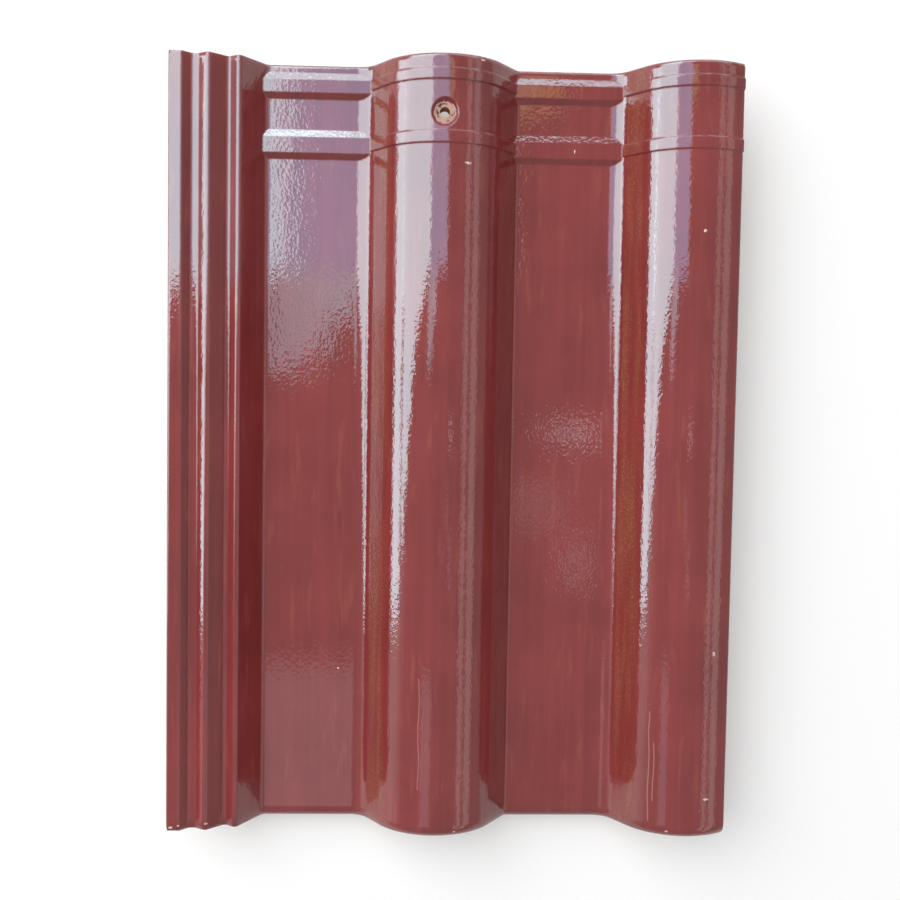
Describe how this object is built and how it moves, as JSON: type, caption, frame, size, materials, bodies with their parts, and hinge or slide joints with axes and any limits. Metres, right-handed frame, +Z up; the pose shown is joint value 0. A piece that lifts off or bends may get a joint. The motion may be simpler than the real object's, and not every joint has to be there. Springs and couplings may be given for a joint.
{
  "type": "clay roof tile",
  "caption": "Glazed clay interlocking roof tile with pans between raised rolls, side water channels and head weather bars.",
  "frame": {"origin": "middle of the tile's outline, on the level surface that the tile lies on", "axes": "+X across the tile from the water channels to the covering edge, +Y up the roof from tail to head, +Z up"},
  "size_m": [0.2936, 0.402, 0.0487],
  "materials": {
    "glazed_clay": "glossy red-brown glaze on top, bare fired clay below"
  },
  "bodies": {
    "root": {"roof_tile": "glazed_clay"}
  },
  "joints": []
}
